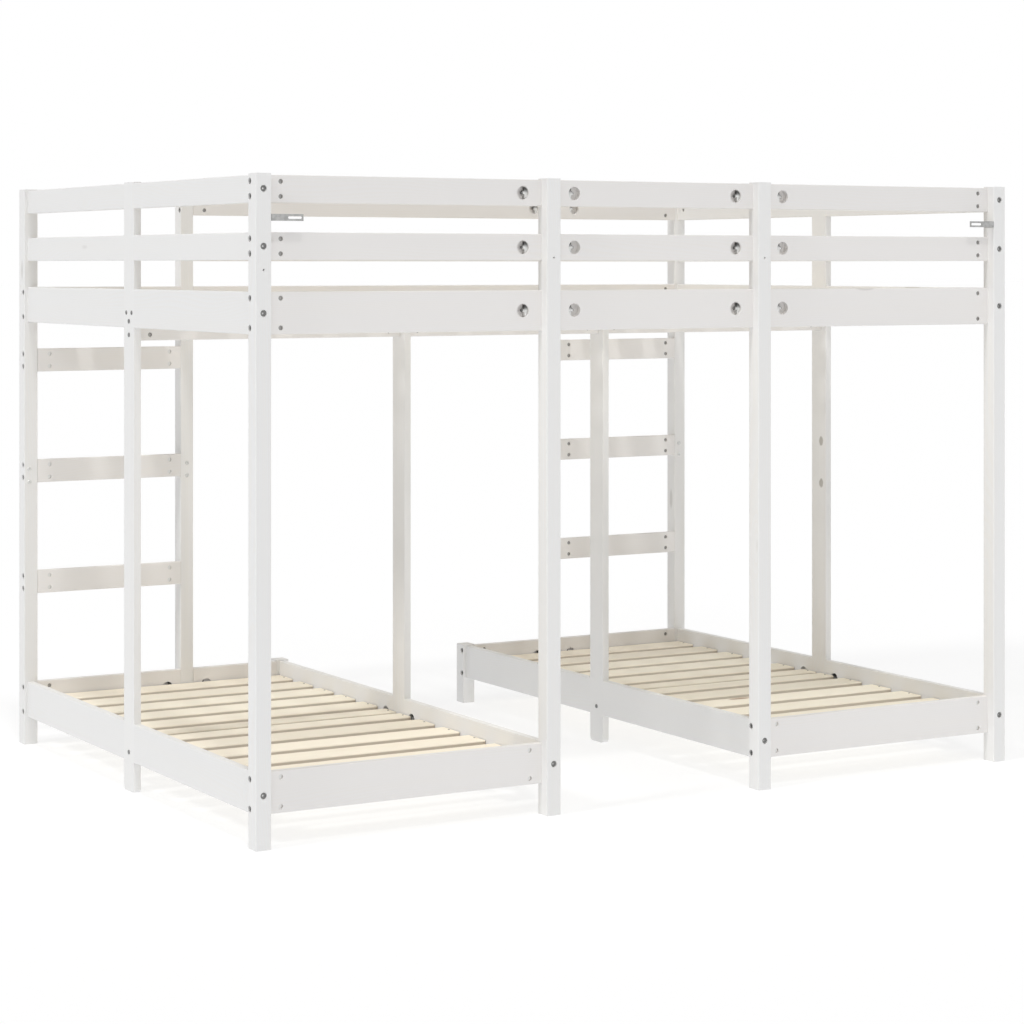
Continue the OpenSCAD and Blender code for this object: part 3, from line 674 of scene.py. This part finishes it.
def heads_tree():
    """Geometry nodes that put a head on each point, turned to face outwards and spun at random."""
    tree = bpy.data.node_groups.new("screw_heads", "GeometryNodeTree")
    tree.interface.new_socket("Geometry", in_out="OUTPUT", socket_type="NodeSocketGeometry")
    tree.interface.new_socket("Geometry", in_out="INPUT", socket_type="NodeSocketGeometry")
    for name, kind in (("Head", "NodeSocketObject"), ("Diameter", "NodeSocketFloat"),
                       ("Height", "NodeSocketFloat"), ("Seed", "NodeSocketInt"),
                       ("Material", "NodeSocketMaterial")):
        tree.interface.new_socket(name, in_out="INPUT", socket_type=kind)
    given = tree.nodes.new("NodeGroupInput").outputs
    head = add_node(tree, "GeometryNodeObjectInfo", {"Object": given["Head"]})
    facing = add_node(tree, "GeometryNodeInputNamedAttribute", {"Name": "facing"},
                      data_type="FLOAT_VECTOR").outputs["Attribute"]
    outward = add_node(tree, "FunctionNodeAlignRotationToVector", {"Vector": facing}, axis="Z")
    # Of the random value's many limits, 2 and 3 are those of plain numbers
    spin = add_node(tree, "FunctionNodeRandomValue", {
        2: 0.0, 3: 2 * math.pi, "Seed": given["Seed"]}, data_type="FLOAT").outputs[1]
    spun = add_node(tree, "FunctionNodeAxisAngleToRotation", {"Axis": (0, 0, 1), "Angle": spin})
    rotation = add_node(tree, "FunctionNodeRotateRotation", {
        0: outward.outputs[0], 1: spun.outputs[0]}, rotation_space="LOCAL").outputs[0]
    radius = add_node(tree, "ShaderNodeMath", {0: given["Diameter"], 1: 0.5},
                      operation="MULTIPLY").outputs[0]
    size = add_node(tree, "ShaderNodeCombineXYZ", {
        0: radius, 1: radius, 2: given["Height"]}).outputs[0]
    placed = add_node(tree, "GeometryNodeInstanceOnPoints", {
        "Points": given["Geometry"], "Instance": head.outputs["Geometry"],
        "Rotation": rotation, "Scale": size})
    real = add_node(tree, "GeometryNodeRealizeInstances", {0: placed.outputs[0]})
    coated = add_node(tree, "GeometryNodeSetMaterial", {
        "Geometry": real.outputs[0], "Material": given["Material"]})
    tree.links.new(coated.outputs[0], tree.nodes.new("NodeGroupOutput").inputs[0])
    return tree


def make_heads(name, places, head, diameter, height, finish="dark_zinc"):
    """Screw heads on the given places, as one plain mesh that rides on the frame."""
    tree = bpy.data.node_groups.get("screw_heads") or heads_tree()
    points = points_object(name + "_points", places)
    modifier = points.modifiers.new("heads", "NODES")
    modifier.node_group = tree
    values = {"Head": head, "Diameter": diameter, "Height": height,
              "Seed": settings().fittings.seed, "Material": bpy.data.materials[finish]}
    for socket in tree.interface.items_tree:
        if socket.in_out == "INPUT" and socket.name in values:
            modifier[socket.identifier] = values[socket.name]
    graph = bpy.context.evaluated_depsgraph_get()
    mesh = bpy.data.meshes.new_from_object(points.evaluated_get(graph))
    mesh.name = name
    points.modifiers.remove(modifier)
    bpy.data.objects.remove(points)
    piece = bpy.data.objects.new(name, mesh)
    bpy.context.scene.collection.objects.link(piece)
    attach(piece, "root")
    return piece


def wood_screw_head():
    return round_head("wood_screw_head", [(1.0, 0.0), (0.92, 0.55), (0.55, 1.0)],
                      cross_socket(0.42, 0.09), 0.25)


def key_screw_head():
    return round_head("key_screw_head", [(1.0, 0.0), (1.0, 0.55), (0.82, 1.0)],
                      hexagon_socket(0.36), 0.2)


# Operators, one for each kind of piece


def grain_axis(node):
    if node.startswith(UPRIGHT):
        return "Z"
    if node.startswith(ALONG_Y) or node.endswith(BESIDE_BED):
        return "Y"
    return "X"


def coat(node, material):
    """Gives a CAD node one material for its whole surface."""
    data = frame["nodes"][node].data
    data.materials.clear()
    data.materials.append(material)


class BUNK_OT_whitewash(bpy.types.Operator):
    """Gives the posts, rails, rungs and beams their whitewashed pine, the grain along each board"""

    bl_idname = "bunk.whitewash"
    bl_label = "Whitewash the boards"

    # Two knots show on the right middle post: their place across it and their heights, in metres
    knot_y = -0.014
    knot_heights = (1.041, 0.884)
    knot_radius = 0.014

    def execute(self, context):
        coats = {axis: whitewash(axis) for axis in GRAIN_TURNS}
        for node, slot in SLOT_OF.items():
            if slot == "white_wood":
                coat(node, coats[grain_axis(node)])
        knots = [((0.0, self.knot_y, height), self.knot_radius) for height in self.knot_heights]
        coat("post_mid_right", whitewash("Z", knots))
        return {"FINISHED"}


class BUNK_OT_bare_pine(bpy.types.Operator):
    """Gives the slats and dowels their bare planed pine"""

    bl_idname = "bunk.bare_pine"
    bl_label = "Bare pine for the slats"

    def execute(self, context):
        coats = {"X": bare_pine("X", top_of("left_bed_slats")),
                 "Y": bare_pine("Y", top_of("deck_slats_front"))}
        for node, slot in SLOT_OF.items():
            if slot == "bare_wood":
                coat(node, coats[grain_axis(node)])
        return {"FINISHED"}


class BUNK_OT_zinc(bpy.types.Operator):
    """Gives the bolts, nuts, rods and wall brackets their zinc plating"""

    bl_idname = "bunk.zinc"
    bl_label = "Zinc for the fittings"

    def execute(self, context):
        fittings = settings().fittings
        # Painted highlight in the bolts' key sockets
        dark = zinc("dark_zinc", fittings.zinc_colour, change=painted_socket_highlight)
        zinc("bright_zinc", fittings.nut_colour, DULL_ZINC)  # for the post screws
        bracket = zinc("bracket_zinc", fittings.bracket_colour)
        # The half moon nuts get painted shade on their upper part
        own = {"half_moon_nuts": zinc("grimy_zinc", fittings.nut_colour, DULL_ZINC, shaded_top),
               "barrel_nuts": zinc("barrel_zinc", fittings.barrel_colour, change=pale_lot),
               "wall_bracket_left": bracket, "wall_bracket_right": bracket}
        for node, slot in SLOT_OF.items():
            if slot == "steel":
                coat(node, own.get(node, dark))
        return {"FINISHED"}


class BUNK_OT_slat_screws(bpy.types.Operator):
    """Makes the screws that hold each slat to its cleats, one at each end"""

    bl_idname = "bunk.slat_screws"
    bl_label = "Slat screws"

    def execute(self, context):
        sizes = settings().fittings
        places = []
        for bed in ("left", "right"):
            top = top_of(f"{bed}_bed_slats")
            for cleat in spans(f"{bed}_bed_cleats", X):
                for slat in spans(f"{bed}_bed_slats", Y):
                    places.append(((middle(cleat), middle(slat), top), UP))
        cleats, beam = spans("deck_cleats", Y), spans("deck_beam_caps", Y)[0]
        quarter = (beam[1] - beam[0]) / 4
        rows = {"front": (middle(cleats[0]), beam[0] + quarter),
                "back": (beam[1] - quarter, middle(cleats[1]))}
        for row, y_ends in rows.items():
            top = top_of(f"deck_slats_{row}")
            for slat in spans(f"deck_slats_{row}", X):
                places += [((middle(slat), y, top), UP) for y in y_ends]
        make_heads("slat_screws", places, wood_screw_head(),
                   sizes.slat_screw_d, sizes.slat_screw_h)
        return {"FINISHED"}


class BUNK_OT_cleat_screws(bpy.types.Operator):
    """Makes the screws that hold the cleats to the rails, in the faces that look into the bed"""

    bl_idname = "bunk.cleat_screws"
    bl_label = "Cleat screws"

    # Largest distance of two screws, and the distance of the outer ones from a cleat's ends
    pitch = 0.28
    edge = 0.06

    def rows(self, span):
        """Even places along a cleat, a little in from its ends."""
        length = span[1] - span[0] - 2 * self.edge
        count = max(1, math.ceil(length / self.pitch))
        return [span[0] + self.edge + i * length / count for i in range(count + 1)]

    def execute(self, context):
        sizes = settings().fittings
        places = []
        for bed in ("left", "right"):
            height = mid_height(f"{bed}_bed_cleats")
            left, right = spans(f"{bed}_bed_cleats", X)
            for cleat in spans(f"{bed}_bed_cleats", Y):
                for y in self.rows(cleat):
                    places += [((left[1], y, height), RIGHT), ((right[0], y, height), LEFT)]
        height = mid_height("deck_cleats")
        front, back = spans("deck_cleats", Y)
        for cleat in spans("deck_cleats", X):
            for x in self.rows(cleat):
                places += [((x, front[1], height), BACK), ((x, back[0], height), FRONT)]
        make_heads("cleat_screws", places, wood_screw_head(),
                   sizes.slat_screw_d, sizes.slat_screw_h)
        return {"FINISHED"}


class BUNK_OT_cap_screws(bpy.types.Operator):
    """Makes the screws through the outer middle posts into the ends of the cap boards"""

    bl_idname = "bunk.cap_screws"
    bl_label = "Cap screws"

    # Distance of the two screws on a post
    apart = 0.045

    def execute(self, context):
        sizes = settings().fittings
        height = mid_height("deck_beam_caps")
        left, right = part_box("post_mid_left")[0].x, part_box("post_mid_right")[1].x
        places = [((x, side * self.apart / 2, height), facing)
                  for x, facing in ((left, LEFT), (right, RIGHT)) for side in (-1, 1)]
        make_heads("cap_screws", places, wood_screw_head(),
                   sizes.cap_screw_d, sizes.cap_screw_h)
        return {"FINISHED"}


class BUNK_OT_post_screws(bpy.types.Operator):
    """Makes two heads on the front of each ladder and back corner post, above the middle rung"""

    bl_idname = "bunk.post_screws"
    bl_label = "Post screws"

    # Distance of the heads from each post's left face, and their heights on the posts
    from_left = {"post_back_left": 0.019, "ladder_post_left": 0.025,
                 "ladder_post_right": 0.025, "post_back_right": 0.021}
    heights = (0.977, 0.932)

    def execute(self, context):
        sizes = settings().fittings
        places = []
        for post, aside in self.from_left.items():
            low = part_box(post)[0]
            places += [((low.x + aside, low.y, height), FRONT) for height in self.heights]
        make_heads("post_screws", places, key_screw_head(),
                   sizes.post_head_d, sizes.post_head_h, "bright_zinc")
        return {"FINISHED"}


class BUNK_OT_studio(bpy.types.Operator):
    """Makes the pale floor, the soft light, the white background and the camera"""

    bl_idname = "bunk.studio"
    bl_label = "Studio"

    # Directions that the lamps shine from
    lamps = {
        "side": Vector((-0.72, -0.08, 0.69)),
        "front": Vector((-0.12, -0.45, 0.88)),
        "corner": Vector((-0.50, -0.62, 0.60)),
    }

    # The floor reaches this far each way. Its colour changes a little, with this many repeats per
    # metre and between these shades
    floor_reach = 200.0
    grain_scale = 40.0
    grain_shades = (0.995, 1.005)

    # How far round to the left or the front the even side light has faded, and how high it has
    # given way to the light from above, as parts of the view direction
    faded_at = -0.7
    sky_at = 0.6

    def execute(self, context):
        studio = settings().studio
        self.make_floor(studio)
        self.make_room(context.scene, studio)
        for name, source in self.lamps.items():
            self.make_lamp(f"{name}_lamp", source, getattr(studio, f"{name}_strength"),
                           getattr(studio, f"{name}_softness"))
        self.make_camera(context.scene, studio)
        return {"FINISHED"}

    def seen(self, tree):
        """1 for rays that show the background: from the camera, or by way of metal or glass."""
        path = add_node(tree, "ShaderNodeLightPath").outputs
        mirrored = maths(tree, "MAXIMUM", path["Is Glossy Ray"], path["Is Transmission Ray"])
        return maths(tree, "MAXIMUM", path["Is Camera Ray"], mirrored)

    def make_floor(self, studio):
        reach = self.floor_reach
        mesh = bpy.data.meshes.new("floor")
        mesh.from_pydata([(-reach, -reach, 0), (reach, -reach, 0), (reach, reach, 0),
                          (-reach, reach, 0)], [], [(0, 1, 2, 3)])
        floor = bpy.data.objects.new("floor", mesh)
        bpy.context.scene.collection.objects.link(floor)
        material, tree = new_material("pale_floor")
        grain = noise(tree, coordinates_of(tree)["Object"], self.grain_scale)
        dark, light = (rgba(studio.floor_colour, shade) for shade in self.grain_shades)
        colour = mix_colour(tree, grain, dark, light)
        matt = add_node(tree, "ShaderNodeBsdfDiffuse", {"Color": colour})
        even = add_node(tree, "ShaderNodeEmission", {
            "Color": rgba(studio.glow_colour), "Strength": studio.floor_glow})
        lit = add_node(tree, "ShaderNodeAddShader", {0: matt.outputs[0], 1: even.outputs[0]})

        # Rays that show the background see a white floor with a softer shadow
        share = studio.shadow_share
        shaded = add_node(tree, "ShaderNodeBsdfDiffuse", {"Color": rgba((share, share, share))})
        glow = add_node(tree, "ShaderNodeEmission", {
            "Color": rgba(WHITE), "Strength": 1.0 - studio.open_floor * share})
        white = add_node(tree, "ShaderNodeAddShader", {0: shaded.outputs[0], 1: glow.outputs[0]})

        both = add_node(tree, "ShaderNodeMixShader", {
            0: self.seen(tree), 1: lit.outputs[0], 2: white.outputs[0]})
        add_node(tree, "ShaderNodeOutputMaterial", {"Surface": both.outputs[0]})
        mesh.materials.append(material)

    def make_room(self, scene, studio):
        room = bpy.data.worlds.new("studio")
        room.use_nodes = True
        tree = room.node_tree
        tree.nodes.clear()
        place = parts_of(tree, coordinates_of(tree)["Generated"])

        # Even light from the sides, less of it from the left and the front, and light from above
        from_left, from_front = (
            maths(tree, "MULTIPLY", ramp(tree, place[axis], 0.0, self.faded_at), 1.0 - share)
            for axis, share in ((X, studio.left_share), (Y, studio.front_share)))
        left_over = maths(tree, "SUBTRACT", maths(tree, "SUBTRACT", 1.0, from_left), from_front,
                          clamp=True)
        around = maths(tree, "MULTIPLY", left_over, studio.horizon_light)
        upward = ramp(tree, place[Z], 0.0, self.sky_at)
        level = maths(tree, "SUBTRACT", 1.0, upward)
        strength = maths(tree, "ADD", maths(tree, "MULTIPLY", upward, studio.zenith_light),
                         maths(tree, "MULTIPLY", level, around))
        light, white = (
            add_node(tree, "ShaderNodeBackground", {"Color": rgba(WHITE), "Strength": value})
            for value in (strength, 1.0))
        chosen = add_node(tree, "ShaderNodeMixShader", {
            0: self.seen(tree), 1: light.outputs[0], 2: white.outputs[0]})
        add_node(tree, "ShaderNodeOutputWorld", {"Surface": chosen.outputs[0]})
        scene.world = room

    def make_lamp(self, name, source, strength, softness):
        lamp = bpy.data.lights.new(name, "SUN")
        lamp.energy = strength
        lamp.angle = softness
        piece = bpy.data.objects.new(name, lamp)
        piece.rotation_euler = source.to_track_quat("Z", "Y").to_euler()
        bpy.context.scene.collection.objects.link(piece)

    def make_camera(self, scene, studio):
        lens = bpy.data.cameras.new("camera")
        lens.sensor_width = 36.0
        lens.lens = studio.focal_length
        lens.shift_y = -studio.horizon
        camera = bpy.data.objects.new("camera", lens)
        camera.location = studio.camera_place
        camera.rotation_euler = (math.pi / 2, 0, -studio.camera_turn)
        scene.collection.objects.link(camera)
        scene.camera = camera
        scene.view_settings.view_transform = "Standard"


PIECES = (BUNK_OT_zinc, BUNK_OT_whitewash, BUNK_OT_bare_pine, BUNK_OT_slat_screws,
          BUNK_OT_cleat_screws, BUNK_OT_cap_screws, BUNK_OT_post_screws, BUNK_OT_studio)


class BUNK_PT_panel(bpy.types.Panel):
    bl_idname = "BUNK_PT_panel"
    bl_label = "Bunk bed"
    bl_space_type = "VIEW_3D"
    bl_region_type = "UI"
    bl_category = "Bunk bed"

    def draw(self, context):
        for group in (settings().wood, settings().fittings, settings().studio):
            box = self.layout.box()
            for name in group.__annotations__:
                box.prop(group, name)
        for piece in PIECES:
            self.layout.operator(piece.bl_idname)


CLASSES = (WoodSettings, FittingSettings, StudioSettings, BunkBedSettings, *PIECES, BUNK_PT_panel)


def register():
    for cls in CLASSES:
        bpy.utils.register_class(cls)
    bpy.types.Scene.bunk_bed = PointerProperty(type=BunkBedSettings)


def unregister():
    del bpy.types.Scene.bunk_bed
    for cls in reversed(CLASSES):
        bpy.utils.unregister_class(cls)


def main():
    register()
    for piece in PIECES:
        group, name = piece.bl_idname.split(".")
        getattr(getattr(bpy.ops, group), name)()


if __name__ == "__main__":
    main()
